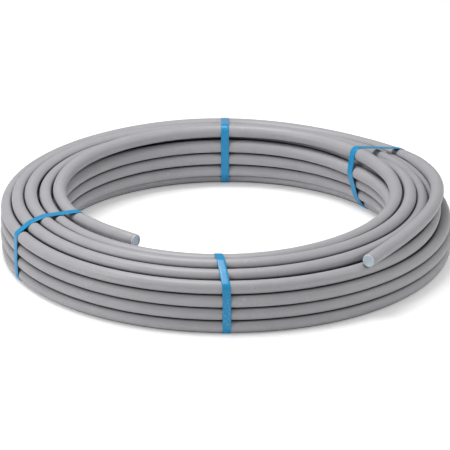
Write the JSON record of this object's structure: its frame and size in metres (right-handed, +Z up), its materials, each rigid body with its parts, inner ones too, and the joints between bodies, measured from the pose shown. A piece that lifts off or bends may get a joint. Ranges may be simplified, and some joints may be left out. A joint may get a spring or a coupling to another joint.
{
  "type": "multilayer pipe coil",
  "caption": "Flat round coil of grey plastic-aluminium-plastic plumbing pipe held by flat straps, both free ends plugged.",
  "frame": {"origin": "on the floor, on the coil's axis", "axes": "+Z up along the coil's axis; -Y towards the side with the front strap, so that the free inner end points to -Y and the free outer end is at +X, -Y"},
  "size_m": [0.875, 0.877, 0.1386],
  "materials": {
    "pipe": "satin grey polyethylene with fine drawing lines",
    "plug": "milky pale blue, slightly translucent polyethylene",
    "strap": "embossed blue polypropylene band"
  },
  "bodies": {
    "root": {"pipe": "pipe", "inner_end_plug": "plug", "outer_end_plug": "plug", "strap_right": "strap", "strap_back": "strap", "strap_left": "strap", "strap_front": "strap"}
  },
  "joints": []
}
